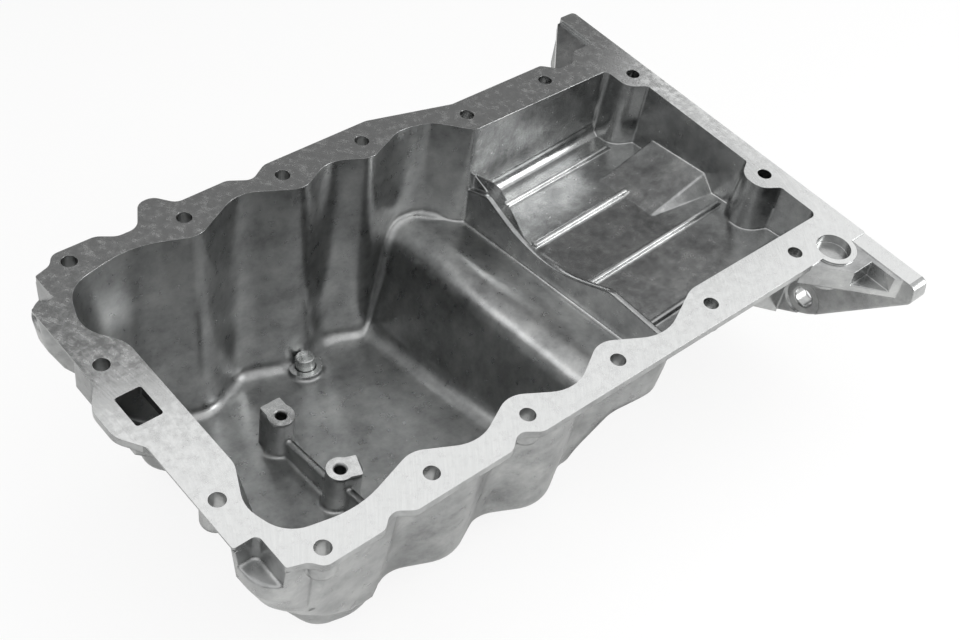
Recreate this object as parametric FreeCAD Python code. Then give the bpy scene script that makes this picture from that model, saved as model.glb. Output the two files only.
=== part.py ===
import FreeCAD, Part
import math
import os

os.makedirs("parts", exist_ok=True)

V = FreeCAD.Vector

# X runs along the pan to the gearbox end, Y across it, Z up. Sizes are in mm.
# Z = 0 is the machined face of the rail, Y = 0 the crankshaft line. Places along X are
# counted from the foot of the ramp, and at the end all shapes move along X until the
# origin lies midway between the second pair of rail holes.

# Cutting and limiting shapes run this far across the pan, and this high over the rail
REACH = 150.0
ABOVE = 10.0

# Casting sections
WALL = 4.5
RAIL_T = 5.0
DRAFT = math.tan(math.radians(3.2))
BOSS_R = 9.0
BOSS_H = 15.0

# The end wall at the timing side leans further in than the draft
END_LEAN = math.tan(math.radians(12.0))
END_X0 = -140.0
END_RUN = 60.0
END_TIGHTEN = 0.3

# Rail bolt holes, M8 clearance, named by side and by order from the timing end
BOLT_R = 4.5
BOLT_Y = 108.0
BOLT_Y_GEAR = 93.4
BOLT_X_GEAR = 193.7
BOLTS = {
    "front_1": (-197.0, -111.8),
    "front_2": (-127.8, -BOLT_Y),
    "front_3": (-63.2, -BOLT_Y),
    "front_4": (3.6, -BOLT_Y),
    "front_5": (79.3, -BOLT_Y),
    "front_6": (154.8, -BOLT_Y),
    "gear_1": (BOLT_X_GEAR, -50.0),
    "gear_2": (BOLT_X_GEAR, 67.4),
    "back_1": (-197.0, 111.8),
    "back_2": (-127.8, BOLT_Y),
    "back_3": (-60.8, BOLT_Y),
    "back_4": (-2.4, BOLT_Y),
    "back_5": (69.5, BOLT_Y_GEAR),
    "back_6": (137.2, BOLT_Y_GEAR),
    "end_1": (-221.0, -61.6),
    "end_2": (-221.0, 40.0),
}

# Rail edges beside the bolts: the inner one at its scallops, the outer one where it is straight
SCALLOP_IN = 92.0
OUTER_Y = 121.0

# Sump floor: a plane that falls toward +Y, so the pan stands level when the engine leans
FLOOR_LEAN = 12.0
FLOOR_SLOPE = math.tan(math.radians(FLOOR_LEAN))
FLOOR_Z0 = -129.5
FLOOR_R = 8.0

# Ramp, hump and dam between the sump and the tray, given at two stations across the pan
STATION_BACK = 125.0
STATION_FRONT = -125.0
RAMP_FOOT_X = -1.0
RAMP_TOP_X = 21.0
HUMP_Z_BACK = -73.5
HUMP_Z_FRONT = -45.0
HUMP_DROP = 7.0
HUMP_R = 20.0
DAM_X = 64.5
DAM_T = 3.4

# Crest of the dam: level at the front, an arc that clears the crank, and a horn at the back
CREST_Z = -32.5
CREST_FRONT_Y = -50.0
CREST_FRONT_R = 12.0
CREST_ARC_Y = 7.7
CREST_ARC_Z = -59.6
CREST_ARC_R = 92.0
HORN_Y = 59.5
HORN_Z = -40.9
HORN_R = 6.0
HORN_FALL = 37.0

# Tray over the flywheel side: its floor falls toward the sump and toward +Y
TRAY_X0 = DAM_X + DAM_T
TRAY_X1 = 193.2
TRAY_Z = -34.5
TRAY_RISE = math.tan(math.radians(4.9))
TRAY_FALL = math.tan(math.radians(6.3))
TRAY_BACK_Y = 79.3
TRAY_FOOT_R = 9.0
TRAY_FOOT_X1 = 179.0

# Slope behind the horn of the dam, down to the tray floor
SLOPE_Y = 27.0
SLOPE_Z = -52.0
SLOPE_DROP = 0.80
SLOPE_RISE = 0.30

# Wedge on the tray floor: it starts at nothing and is highest at the gearbox end
PAD_X0 = 146.0
PAD_Y0 = -10.0
PAD_Y1 = 36.5
PAD_RISE = 11.2

# Tray ribs: y of the rib, x of its end and the height of its top over the tray floor
RIB_T = 3.6
TRAY_RIBS = ((57.8, 175.5, 2.8), (17.3, 153.0, 2.8), (-29.7, 189.0, 2.8), (-78.2, 190.0, 2.8))

# Square oil passage through the rail at the timing end, which slants down into the sump
WINDOW_X0 = -228.0
WINDOW_X1 = -212.6
WINDOW_Y0 = -3.6
WINDOW_Y1 = 17.6
WINDOW_R = 1.6
WINDOW_STRAIGHT = 12.0
WINDOW_DROP = 46.0

# Slant of the passage: its run along X, the height it opens to and the rise of its roof's start
PASSAGE_RUN = 28.0
PASSAGE_OPEN = 22.0
PASSAGE_ROOF = 6.0

# Lug round the bolt beside the passage: its reach to each side of the bolt, and its depth
END_LUG_X = (-9.8, 9.0)
END_LUG_Y = (-8.0, 12.0)
END_LUG_R = 3.0
END_LUG_Z = -20.0

# Corner lugs at the timing end: the seat cut into their top, and sections from the top down
SEAT_X = -217.2
SEAT_Y = 88.5
SEAT_Z = -17.0
LUG_WALL = 3.0
LUG_R = 17.0
LUG_SECTIONS = (
    (-4.0, -230.0, 112.0),
    (-30.0, -226.5, 111.0),
    (-48.0, -218.5, 109.5),
    (-68.0, -204.5, 107.5),
    (-85.0, -190.5, 105.5),
    (-96.0, -178.0, 103.5),
)
LIP_T = 1.2

# Locating bore in the corner beside the gearbox flange
DOWEL_X = 179.2
DOWEL_Y = -118.4
DOWEL_R = 10.7
DOWEL_RIM = 3.5
DOWEL_DEPTH = 6.0
DOWEL_BOSS_H = 24.0

# Gearbox flange
PLATE_X0 = 194.5
PLATE_X1 = 207.0
PLATE_DROP = 114.0
PLATE_SHOULDER_Y = 115.0
PLATE_SHOULDER_Z = -71.0
EAR_FRONT_Y = -169.0
EAR_BACK_Y = 140.0
EAR_TIP_Z = -12.0
GEAR_BOLT_R = 6.75
GEAR_SEAT_R = 13.0
GEAR_SEAT_DEPTH = 1.2
GEAR_BOLT_Y = 106.0
GEAR_BOLT_Z = -64.0
GEAR_LOW_Y = 44.0
GEAR_LOW_Z = -97.0

# Gusset between the front of the rail and the ear, with a square pocket in its top
GUSSET_Z = -1.3
GUSSET_T = 15.2
GUSSET_X = 156.1
GUSSET_SLANT = 1.03
POCKET_X = 191.0
POCKET_Y = -139.4
POCKET_Z = -12.0

# Webs under the tray: y of the web, where it starts and how low it reaches on the flange
WEB_T = 4.5
TRAY_WEBS = ((-90.0, 126.0, -89.0), (-44.0, 112.0, -104.0), (0.0, 118.0, -106.0),
             (44.0, 112.0, -104.0), (82.0, 126.0, -89.0))

# Pick-up bosses on the sump floor, tapped M8
PICKUP_R = 8.2
PICKUP_H = 31.0
PICKUP_TAP_R = 3.4
PICKUP_TAP_DEPTH = 22.0
PICKUP_A = (-113.0, 30.0)
PICKUP_B = (-115.0, -28.5)
PICKUP_WEB_T = 4.0
PICKUP_WEB_H = 14.0

# Lobe of a pick-up boss: its width and length, and the ledge that steps down round it
LOBE_W = 14.0
LOBE_L = 11.5
LOBE_R = 12.2
LEDGE_SIDE = 0.6
LEDGE_END = 1.5
LEDGE_DROP = 2.2

# Drain plug, M14, square to the sump floor
PLUG_X = -57.5
PLUG_Y = 76.5
PLUG_R = 6.95
PLUG_FIT = 0.05
PLUG_REACH = 12.0
PLUG_BEVEL = 0.6
PLUG_AF = 19.0
PLUG_HEAD_H = 7.0
PLUG_COLLAR_R = 11.5
PLUG_COLLAR_H = 2.0
RING_R = 10.8
RING_H = 4.0
PAD_R = 14.0
PAD_H = 2.5
WASHER_R = 11.0
WASHER_T = 1.6
WASHER_FIT = 0.35


def inset(corners, d):
    """Parallel copy of a counter-clockwise outline, d inward, with each round kept concentric."""
    n = len(corners)
    lines = []
    for i in range(n):
        ax, ay = corners[i][:2]
        bx, by = corners[(i + 1) % n][:2]
        length = math.hypot(bx - ax, by - ay)
        ux, uy = (bx - ax) / length, (by - ay) / length
        lines.append((ax - uy * d, ay + ux * d, ux, uy))
    out = []
    for i in range(n):
        px, py, ux, uy = lines[i - 1]
        qx, qy, vx, vy = lines[i]
        cross = ux * vy - uy * vx
        t = ((qx - px) * vy - (qy - py) * vx) / cross
        sign = 1.0 if cross > 0 else -1.0
        radius = max(corners[i][2] - sign * d, 0.6)
        out.append((px + ux * t, py + uy * t, radius))
    return out


def rounded_edges(corners, place):
    """Edges of a closed outline with a tangent arc at each corner; place maps (u, v) to a point."""
    n = len(corners)
    cuts = []
    for i in range(n):
        p = V(corners[i][0], corners[i][1], 0)
        a = V(corners[i - 1][0], corners[i - 1][1], 0) - p
        b = V(corners[(i + 1) % n][0], corners[(i + 1) % n][1], 0) - p
        a.normalize()
        b.normalize()
        half = 0.5 * a.getAngle(b)
        radius = corners[i][2]
        run = radius / math.tan(half)
        middle = (a + b).normalize()
        centre = p + middle * (radius / math.sin(half))
        cuts.append((p + a * run, centre - middle * radius, p + b * run))
    edges = []
    for i in range(n):
        first, mid, last = cuts[i]
        edges.append(Part.Arc(place(first), place(mid), place(last)).toShape())
        edges.append(Part.makeLine(place(last), place(cuts[(i + 1) % n][0])))
    return edges


def plan_wire(corners, z):
    return Part.Wire(rounded_edges(corners, lambda p: V(p.x, p.y, z)))


def station_wire(corners, y):
    """Outline in the XZ plane, at a station across the pan."""
    return Part.Wire(rounded_edges(corners, lambda p: V(p.x, y, p.y)))


def section_wire(corners, x):
    """Outline in the YZ plane, at a station along the pan."""
    return Part.Wire(rounded_edges(corners, lambda p: V(x, p.x, p.y)))


def slab(corners, z0, z1):
    return Part.Face(plan_wire(corners, z0)).extrude(V(0, 0, z1 - z0))


def drafted(corners, depth):
    """Solid under Z = 0 whose sides lean inward by the draft, and more at the timing end."""
    low = []
    for x, y, radius in inset(corners, depth * DRAFT):
        share = min(max((END_X0 - x) / END_RUN, 0.0), 1.0)
        tighter = END_TIGHTEN if 0.0 < share < 1.0 else 1.0
        low.append((x + share * depth * END_LEAN, y, radius * tighter))
    return Part.makeLoft([plan_wire(corners, 0), plan_wire(low, -depth)], True, True)


def box(x0, x1, y0, y1, z0, z1):
    return Part.makeBox(x1 - x0, y1 - y0, z1 - z0, V(x0, y0, z0))


def post(x, y, radius, z0, z1):
    return Part.makeCylinder(radius, z1 - z0, V(x, y, z0))


def prism_xz(points, y0, y1):
    pts = [V(x, y0, z) for x, z in points]
    return Part.Face(Part.makePolygon(pts + [pts[0]])).extrude(V(0, y1 - y0, 0))


def prism_yz(points, x0, x1):
    pts = [V(x0, y, z) for y, z in points]
    return Part.Face(Part.makePolygon(pts + [pts[0]])).extrude(V(x1 - x0, 0, 0))


# Inner edge of the rail, counter-clockwise: x, y and corner radius
INNER = [
    (-202.5, 46.0, 18.0),
    (-202.5, -49.0, 14.0),
    (-213.5, -72.0, 20.0),
    (-206.5, -96.0, 20.0),
    (-169.0, -104.0, 60.0),
    (BOLTS["front_2"][0], -SCALLOP_IN + 0.5, 17.0),
    (-95.5, -107.8, 26.0),
    (BOLTS["front_3"][0], -SCALLOP_IN, 17.0),
    (-30.0, -111.0, 26.0),
    (BOLTS["front_4"][0], -SCALLOP_IN, 16.0),
    (39.5, -111.0, 30.0),
    (77.0, -93.6, 20.0),
    (TRAY_X1, -93.6, 5.0),
    (TRAY_X1, -64.5, 3.0),
    (180.6, -57.5, 11.0),
    (180.6, -42.5, 11.0),
    (TRAY_X1, -35.5, 3.0),
    (TRAY_X1, 52.5, 2.0),
    (180.3, 60.0, 10.0),
    (180.3, TRAY_BACK_Y, 4.0),
    (64.0, TRAY_BACK_Y, 8.0),
    (46.0, 99.0, 20.0),
    (24.0, 104.5, 26.0),
    (BOLTS["back_4"][0] - 4.0, SCALLOP_IN, 13.0),
    (-31.0, 104.5, 22.0),
    (BOLTS["back_3"][0] + 4.0, SCALLOP_IN - 0.5, 15.0),
    (-92.0, 109.5, 24.0),
    (BOLTS["back_2"][0] - 1.0, SCALLOP_IN - 1.0, 16.0),
    (-165.0, 104.5, 60.0),
    (-207.0, 95.5, 22.0),
    (-217.0, 67.0, 20.0),
]

# Outer edge of the rail
OUTER = [
    (-230.8, -88.5, 1.5),
    (-217.2, -88.5, 3.5),
    (-217.2, -111.0, 1.5),
    (-207.0, -114.5, 8.0),
    (-202.0, -OUTER_Y, 6.0),
    (-167.0, -OUTER_Y, 8.0),
    (-158.5, -113.8, 7.0),
    (-148.0, -OUTER_Y, 8.0),
    (-85.0, -OUTER_Y, 8.0),
    (-75.0, -113.4, 7.0),
    (-64.0, -OUTER_Y, 8.0),
    (PLATE_X1, -OUTER_Y, 1.0),
    (PLATE_X1, 139.0, 3.0),
    (PLATE_X0 - 1.0, 139.0, 2.0),
    (PLATE_X0 - 1.0, 106.4, 1.0),
    (176.0, 106.4, 4.0),
    (166.5, 97.2, 5.0),
    (154.0, 97.2, 6.0),
    (145.0, 106.2, 5.0),
    (68.0, 106.2, 10.0),
    (11.0, OUTER_Y + 0.6, 8.0),
    (-65.0, OUTER_Y, 10.0),
    (-78.0, 113.6, 8.0),
    (-91.0, OUTER_Y, 8.0),
    (-124.5, OUTER_Y - 0.5, 8.0),
    (-133.5, 131.5, 8.0),
    (-143.0, 131.5, 8.0),
    (-153.5, 114.6, 9.0),
    (-166.0, 114.6, 10.0),
    (-176.0, OUTER_Y, 9.0),
    (-202.5, OUTER_Y, 7.0),
    (-207.0, 114.5, 8.0),
    (-217.2, 111.5, 1.5),
    (-217.2, 93.2, 1.0),
    (-230.8, 91.8, 1.5),
    (-230.8, 31.0, 5.0),
    (-240.2, 18.0, 14.0),
    (-240.2, -3.0, 14.0),
    (-230.8, -17.0, 4.0),
]


def floor_z(y):
    return FLOOR_Z0 - FLOOR_SLOPE * y


def sump_profile(y, grow):
    """Space over the sump floor, ramp and hump at a station; grow is the wall taken outward."""
    part = (y - STATION_FRONT) / (STATION_BACK - STATION_FRONT)
    floor = floor_z(y) - grow
    hump = HUMP_Z_FRONT + (HUMP_Z_BACK - HUMP_Z_FRONT) * part - grow
    end = DAM_X + (grow + 0.5 if grow else 0.0)
    drop = HUMP_DROP * (end - RAMP_TOP_X) / (DAM_X - RAMP_TOP_X)
    return [
        (-260.0, floor, 1.0),
        (RAMP_FOOT_X + grow, floor, 14.0),
        (RAMP_TOP_X + grow, hump, HUMP_R),
        (end, hump - drop, 2.0),
        (end, ABOVE, 1.0),
        (-260.0, ABOVE, 1.0),
    ]


def sump_space(grow):
    front = station_wire(sump_profile(STATION_FRONT, grow), STATION_FRONT)
    back = station_wire(sump_profile(STATION_BACK, grow), STATION_BACK)
    return Part.makeLoft([front, back], True, True)


def tray_floor(x, y):
    return TRAY_Z + TRAY_RISE * (x - TRAY_X1) - TRAY_FALL * (y - BOLTS["gear_1"][1])


def horn_slope(x, y):
    """Height of the sloping back of the dam's horn."""
    return SLOPE_Z - SLOPE_DROP * (x - TRAY_X0) + SLOPE_RISE * (y - SLOPE_Y)


def over_plane(height, x0, x1):
    """Everything above a sloping plane, between two stations along the pan."""
    plan = ((x0, -REACH), (x1, -REACH), (x1, REACH), (x0, REACH))
    points = [V(x, y, height(x, y)) for x, y in plan]
    return Part.Face(Part.makePolygon(points + [points[0]])).extrude(V(0, 0, 300.0))


def tray_space(shaft):
    """Space over the tray floor and over the slope behind the horn."""
    x1 = TRAY_X1 + 0.5
    space = shaft.common(over_plane(tray_floor, TRAY_X0, x1))
    return space.common(over_plane(horn_slope, TRAY_X0, x1))


def tray_foot():
    """Round between the tray's back wall and its floor."""
    wires = []
    for x in (TRAY_X0, TRAY_FOOT_X1):
        floor = tray_floor(x, TRAY_BACK_Y)
        wall = TRAY_BACK_Y + DRAFT * floor
        radius = TRAY_FOOT_R
        low = V(x, wall - radius, floor - 0.1)
        high = V(x, wall + 0.1, floor + radius)
        bulge = radius * (1.0 - math.sqrt(0.5))
        middle = V(x, wall - bulge, floor + bulge)
        behind = [V(x, wall + 2.0, floor + radius), V(x, wall + 2.0, floor - 2.0)]
        corner = [high] + behind + [V(x, wall - radius, floor - 2.0)]
        edges = [Part.Arc(low, middle, high).toShape()]
        edges += [Part.makeLine(p, q) for p, q in zip(corner, corner[1:] + [low])]
        wires.append(Part.Wire(edges))
    return Part.makeLoft(wires, True, True)


def dam_space():
    """Space over the dam's crest."""
    top = [
        (-REACH, CREST_Z, 1.0),
        (CREST_FRONT_Y, CREST_Z, CREST_FRONT_R),
        (CREST_ARC_Y, CREST_ARC_Z, CREST_ARC_R),
        (HORN_Y, HORN_Z, HORN_R),
        (REACH, HORN_Z - HORN_FALL, 1.0),
        (REACH, ABOVE, 1.0),
        (-REACH, ABOVE, 1.0),
    ]
    return Part.Face(section_wire(top, DAM_X - 1.0)).extrude(V(DAM_T + 2.0, 0, 0))


def over_floor(grow):
    """Everything above the leaning sump floor, or above its underside when grow is the wall."""
    side = [(-REACH, floor_z(-REACH) - grow), (REACH, floor_z(REACH) - grow), (REACH, ABOVE), (-REACH, ABOVE)]
    return prism_yz(side, -260.0, 100.0)


def rounded_floor(shaft, grow):
    """Shaft of the sump down to its floor, with the foot of the wall rounded all round."""
    sump = shaft.common(over_floor(grow))
    foot = []
    for edge in sump.Edges:
        middle = edge.valueAt(0.5 * (edge.FirstParameter + edge.LastParameter))
        if abs(middle.z - floor_z(middle.y) + grow) < 0.3:
            foot.append(edge)
    return sump.makeFillet(FLOOR_R + grow, foot)


def shaft_depth():
    """Depth of the drafted shafts: a little past the underside of the sump at the back."""
    return WALL + 1.0 - floor_z(BOLT_Y)


def cavity():
    shaft = drafted(INNER, shaft_depth())
    sump = rounded_floor(shaft, 0.0).common(sump_space(0.0))
    return sump.fuse([shaft.common(dam_space()), tray_space(shaft)])


def outer_shell():
    shaft = drafted(inset(INNER, -WALL), shaft_depth())
    sump = rounded_floor(shaft, WALL).common(sump_space(WALL))
    under = over_plane(lambda x, y: tray_floor(x, y) - WALL, TRAY_X0 - 4.0, PLATE_X1)
    return sump.fuse(shaft.common(under))


def tray_rib(y, x_end, height):
    """Low rib along the tray, its top parallel to the floor; it ends in a slope."""
    x0 = TRAY_X0 + 0.5
    side = [
        (x0, tray_floor(x0, y) + height),
        (x_end - 4.0, tray_floor(x_end, y) + height),
        (x_end, tray_floor(x_end, y)),
        (x_end, tray_floor(x_end, y) - 0.7 * WALL),
        (x0, tray_floor(x0, y) - 0.7 * WALL),
    ]
    rib = prism_xz(side, y - 0.5 * RIB_T, y + 0.5 * RIB_T)
    middle = tray_floor(0.5 * (x0 + x_end), y)
    crest = [edge for edge in rib.Edges if edge.Length > 40.0 and edge.CenterOfMass.z > middle]
    return rib.makeFillet(0.3 * RIB_T, crest)


def end_pad():
    """Wedge on the tray floor, with a broad slope on its front side and a steep one at the back."""
    wires = []
    for x, rise in ((PAD_X0, 0.2), (TRAY_X1 + 1.5, PAD_RISE)):
        low = -2.0
        outline = (
            (PAD_Y0 - (rise - low), low),
            (PAD_Y0, rise),
            (PAD_Y1, rise),
            (PAD_Y1 + 0.3 * (rise - low), low),
        )
        points = [V(x, y, tray_floor(x, y) + z) for y, z in outline]
        wires.append(Part.makePolygon(points + [points[0]]))
    return Part.makeLoft(wires, True, True)


def pickup_boss(centre, lobe_turn):
    """Tapped boss for the pick-up, with the lobe that butts on a curved locating step."""
    x, y = centre
    top = floor_z(y) + PICKUP_H
    low = floor_z(y) - 1.0
    boss = Part.makeCone(PICKUP_R + 0.9, PICKUP_R, top - low, V(x, y, low))
    half = 0.5 * LOBE_W
    lobe = box(x - half, x + half, y, y + LOBE_L, low, top)
    half += LEDGE_SIDE
    step = box(x - half, x + half, y, y + LOBE_L + LEDGE_END, low, top - LEDGE_DROP)
    lobe = lobe.fuse(step).common(post(x, y + 1.0, LOBE_R, low, top))
    lobe.rotate(V(x, y, 0), V(0, 0, 1), lobe_turn)
    return boss.fuse(lobe)


def pickup_web(start, end, height):
    """Web on the sump floor from one point to another, its top following the floor."""
    run = math.hypot(end[0] - start[0], end[1] - start[1])
    side = [
        V(0, 0, floor_z(start[1]) - 1.0),
        V(run, 0, floor_z(end[1]) - 1.0),
        V(run, 0, floor_z(end[1]) + height),
        V(0, 0, floor_z(start[1]) + height),
    ]
    web = Part.Face(Part.makePolygon(side + [side[0]])).extrude(V(0, PICKUP_WEB_T, 0))
    web.translate(V(0, -0.5 * PICKUP_WEB_T, 0))
    web.rotate(V(0, 0, 0), V(0, 0, 1), math.degrees(math.atan2(end[1] - start[1], end[0] - start[0])))
    web.translate(V(start[0], start[1], 0))
    return web


def pickup_mounts():
    shape = pickup_boss(PICKUP_A, 0.0).fuse(pickup_boss(PICKUP_B, -110.0))
    shape = shape.fuse(pickup_web(PICKUP_A, PICKUP_B, PICKUP_WEB_H))
    shape = shape.fuse(pickup_web(PICKUP_B, (PICKUP_B[0] - 2.0, -100.0), PICKUP_WEB_H + 6.0))
    for x, y in (PICKUP_A, PICKUP_B):
        top = floor_z(y) + PICKUP_H
        shape = shape.cut(post(x, y, PICKUP_TAP_R, top - PICKUP_TAP_DEPTH, top + 1.0))
        shape = shape.cut(Part.makeCone(PICKUP_TAP_R, PICKUP_TAP_R + 1.0, 1.0, V(x, y, top - 1.0)))
    return shape


def rail_bosses():
    shape = None
    for x, y in BOLTS.values():
        boss = Part.makeCone(BOSS_R - 0.5, BOSS_R, BOSS_H, V(x, y, -BOSS_H))
        shape = boss if shape is None else shape.fuse(boss)
    return shape


def rail():
    """Machined rail; along the timing end its outer edge is thinned by a long chamfer."""
    plate = slab(OUTER, -RAIL_T, 0.0)
    x = OUTER[0][0]
    run = RAIL_T - LIP_T
    side = [(x - 1.0, -LIP_T + 1.0), (x + run, -RAIL_T), (x + run, -RAIL_T - 4.0), (x - 1.0, -9.0)]
    under = prism_xz(side, -SEAT_Y, SEAT_Y + LUG_WALL)
    return plate.cut(under)


def corner_lug():
    """Corner body at the timing end, drawn for the front corner, with a seat cut into its top."""
    wires = []
    for z, x, y in LUG_SECTIONS:
        plan = [
            (x, -SEAT_Y + LUG_WALL, 1.0),
            (x + 1.0, -y, LUG_R),
            (-150.0, -y, 1.0),
            (-150.0, -70.0, 1.0),
            (x + 34.0, -70.0, 4.0),
        ]
        wires.append(plan_wire(plan, z))
    lug = Part.makeLoft(wires, True, True)
    seat = [
        (SEAT_X - 30.0, -SEAT_Y - 40.0, 1.0),
        (SEAT_X, -SEAT_Y - 40.0, 1.0),
        (SEAT_X, -SEAT_Y, 3.5),
        (SEAT_X - 30.0, -SEAT_Y, 1.0),
    ]
    return lug.cut(slab(seat, SEAT_Z, 1.0))


def end_lug():
    """Deep square lug round the bolt beside the oil passage."""
    x, y = BOLTS["end_2"]
    low, high = END_LUG_X
    near, far = END_LUG_Y
    plan = [
        (x + low, y + near, END_LUG_R),
        (x + high, y + near, END_LUG_R),
        (x + high, y + far, END_LUG_R),
        (x + low, y + far, END_LUG_R),
    ]
    return slab(plan, END_LUG_Z, -0.4 * RAIL_T)


def passage_side(out):
    """Side view of the oil passage: straight down from the rail, then slanting into the sump."""
    x0, x1 = WINDOW_X0 - out, WINDOW_X1 + out
    knee = -WINDOW_STRAIGHT
    foot_x = WINDOW_X1 + PASSAGE_RUN
    return [
        (x0, 1.0),
        (x0, knee - 0.4 * out),
        (foot_x, knee - WINDOW_DROP - 0.8 * out),
        (foot_x, knee - WINDOW_DROP + PASSAGE_OPEN),
        (x1, knee + PASSAGE_ROOF),
        (x1, 1.0),
    ]


def passage_body():
    side = passage_side(WALL)
    body = prism_xz(side, WINDOW_Y0 - WALL, WINDOW_Y1 + WALL)
    return body.common(box(-260.0, -150.0, -40.0, 60.0, -90.0, -2.0))


def passage():
    corners = [(WINDOW_X0, WINDOW_Y0), (WINDOW_X1, WINDOW_Y0), (WINDOW_X1, WINDOW_Y1), (WINDOW_X0, WINDOW_Y1)]
    mouth = slab([(x, y, WINDOW_R) for x, y in corners], -WINDOW_STRAIGHT, 1.0)
    side = passage_side(0.0)
    side[0] = (WINDOW_X0, -WINDOW_STRAIGHT + 0.5)
    side[-1] = (WINDOW_X1, -WINDOW_STRAIGHT + PASSAGE_ROOF)
    side[-2] = (WINDOW_X1 + 0.5, -WINDOW_STRAIGHT + PASSAGE_ROOF - 1.0)
    return mouth.fuse(prism_xz(side, WINDOW_Y0, WINDOW_Y1))


def gear_plate():
    """Gearbox flange across the end, with an ear each side above its arched lower edge."""
    edge = [
        (EAR_BACK_Y - 1.0, -0.8, 4.0),
        (EAR_FRONT_Y, -0.8, 5.0),
        (EAR_FRONT_Y - 2.5, EAR_TIP_Z, 6.0),
        (-PLATE_SHOULDER_Y, PLATE_SHOULDER_Z - 1.0, 25.0),
        (-45.0, -PLATE_DROP, 60.0),
        (45.0, -PLATE_DROP, 60.0),
        (PLATE_SHOULDER_Y, PLATE_SHOULDER_Z - 1.0, 25.0),
        (EAR_BACK_Y - 1.0, -40.0, 8.0),
    ]
    return Part.Face(section_wire(edge, PLATE_X0)).extrude(V(PLATE_X1 - PLATE_X0, 0, 0))


def gear_bolts():
    """Holes along X through the gearbox flange, each with a shallow seat for the bolt head."""
    cuts = []
    places = [(side * GEAR_BOLT_Y, GEAR_BOLT_Z) for side in (-1, 1)]
    places += [(side * GEAR_LOW_Y, GEAR_LOW_Z) for side in (-1, 1)]
    for y, z in places:
        cuts.append(Part.makeCylinder(GEAR_BOLT_R, 30.0, V(PLATE_X1 - 28.0, y, z), V(1, 0, 0)))
        seat_x = PLATE_X0 + GEAR_SEAT_DEPTH
        cuts.append(Part.makeCylinder(GEAR_SEAT_R, 9.0, V(seat_x - 9.0, y, z), V(1, 0, 0)))
    return cuts


def gusset():
    """Corner plate from the front of the rail to the ear, with its square pocket."""
    x1 = POCKET_X + 9.0
    front = -OUTER_Y
    plan = [
        (GUSSET_X - 4.0, front + 4.0, 0.6),
        (x1, front - GUSSET_SLANT * (x1 - GUSSET_X), 1.5),
        (x1, front + 4.0, 0.6),
    ]
    body = slab(plan, GUSSET_Z - GUSSET_T, GUSSET_Z)
    return body.cut(box(POCKET_X - 60.0, POCKET_X, POCKET_Y - 60.0, POCKET_Y, POCKET_Z, 1.0))


def back_web():
    """Thin corner web from the back of the rail to the back ear."""
    x1 = PLATE_X0 + 1.0
    return slab([(150.0, 97.0, 1.0), (x1, 97.0, 1.0), (x1, 137.0, 1.0), (x1 - 5.0, 137.0, 1.0)], -7.5, -2.5)


def tray_webs():
    """Webs that tie the underside of the tray to the gearbox flange."""
    webs = []
    for y, x0, low in TRAY_WEBS:
        top = tray_floor(x0, y) - 0.5 * WALL
        x1 = PLATE_X0 + 1.0
        webs.append(prism_xz([(x0, top), (x1, low), (x1, top)], y - 0.5 * WEB_T, y + 0.5 * WEB_T))
    return webs


def dowel_boss():
    rim = DOWEL_R + DOWEL_RIM
    return Part.makeCone(rim - 1.5, rim, DOWEL_BOSS_H, V(DOWEL_X, DOWEL_Y, -DOWEL_BOSS_H))


def drain_frame(shape):
    """Moves a shape drawn on its own +Z axis to the drain, square to the sump floor."""
    shape.rotate(V(0, 0, 0), V(1, 0, 0), -FLOOR_LEAN)
    shape.translate(V(PLUG_X, PLUG_Y, floor_z(PLUG_Y)))
    return shape


def casting():
    shell = outer_shell()
    lug = corner_lug()
    body = rail().fuse(post(DOWEL_X, DOWEL_Y, DOWEL_R + DOWEL_RIM, -RAIL_T, 0.0))
    parts = [rail_bosses(), dowel_boss(), shell, gear_plate(), gusset(), back_web(), end_lug()]
    parts += [lug, lug.mirror(V(0, 0, 0), V(0, 1, 0)), passage_body()]
    body = body.fuse(parts + tray_webs())
    body = body.cut(cavity())
    inside = [end_pad(), tray_foot(), pickup_mounts()]
    for y, x_end, height in TRAY_RIBS:
        inside.append(tray_rib(y, x_end, height))
    inner = inside[0].fuse(inside[1:]).common(shell)
    ring = post(0, 0, RING_R, -1.0, RING_H)
    pad = post(0, 0, PAD_R, -WALL - PAD_H, -1.0)
    body = body.fuse([inner, drain_frame(ring), drain_frame(pad)])
    holes = [post(x, y, BOLT_R, -60.0, 1.0) for x, y in BOLTS.values()]
    holes.append(post(DOWEL_X, DOWEL_Y, DOWEL_R, -DOWEL_DEPTH, 1.0))
    holes.append(drain_frame(post(0, 0, PLUG_R + PLUG_FIT, -20.0, 20.0)))
    holes.append(passage())
    return body.cut(holes + gear_bolts())


def drain_washer():
    """Flat sealing ring between the plug's collar and the pad under the sump."""
    top = -WALL - PAD_H
    ring = post(0, 0, WASHER_R, top - WASHER_T, top)
    return drain_frame(ring.cut(post(0, 0, PLUG_R + WASHER_FIT, top - WASHER_T - 1.0, top + 1.0)))


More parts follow.
